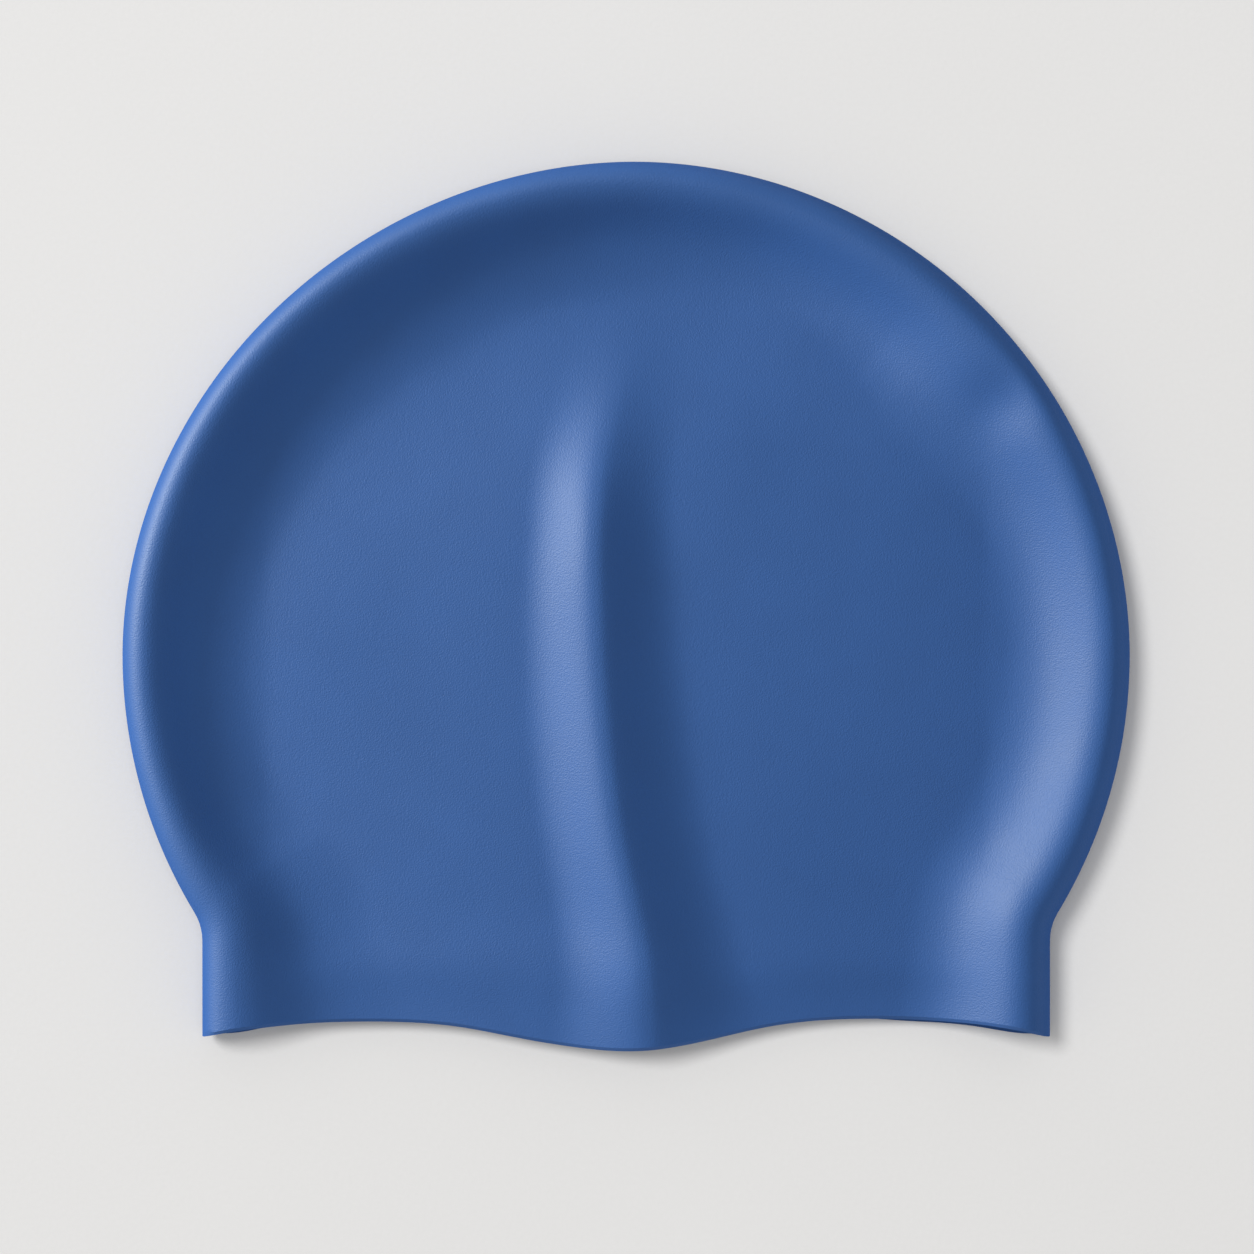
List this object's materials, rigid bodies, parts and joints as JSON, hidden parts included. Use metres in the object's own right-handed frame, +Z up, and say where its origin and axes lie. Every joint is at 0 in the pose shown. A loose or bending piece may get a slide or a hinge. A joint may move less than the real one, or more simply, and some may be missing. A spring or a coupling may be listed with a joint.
{
  "type": "swim cap",
  "caption": "Moulded silicone swim cap lying flat: round dome, narrower band, waved hem, raised rounded rim and a soft fold down the middle.",
  "frame": {"origin": "on the surface that the cap lies on, under the middle of its outline", "axes": "+X across the cap to the right as seen from above, +Y towards the crown with the open hem at -Y, +Z up from the surface"},
  "size_m": [0.224, 0.1976, 0.0161],
  "materials": {
    "silicone": "satin moulded silicone, blue"
  },
  "bodies": {
    "root": {"cap_shell": "silicone"}
  },
  "joints": []
}
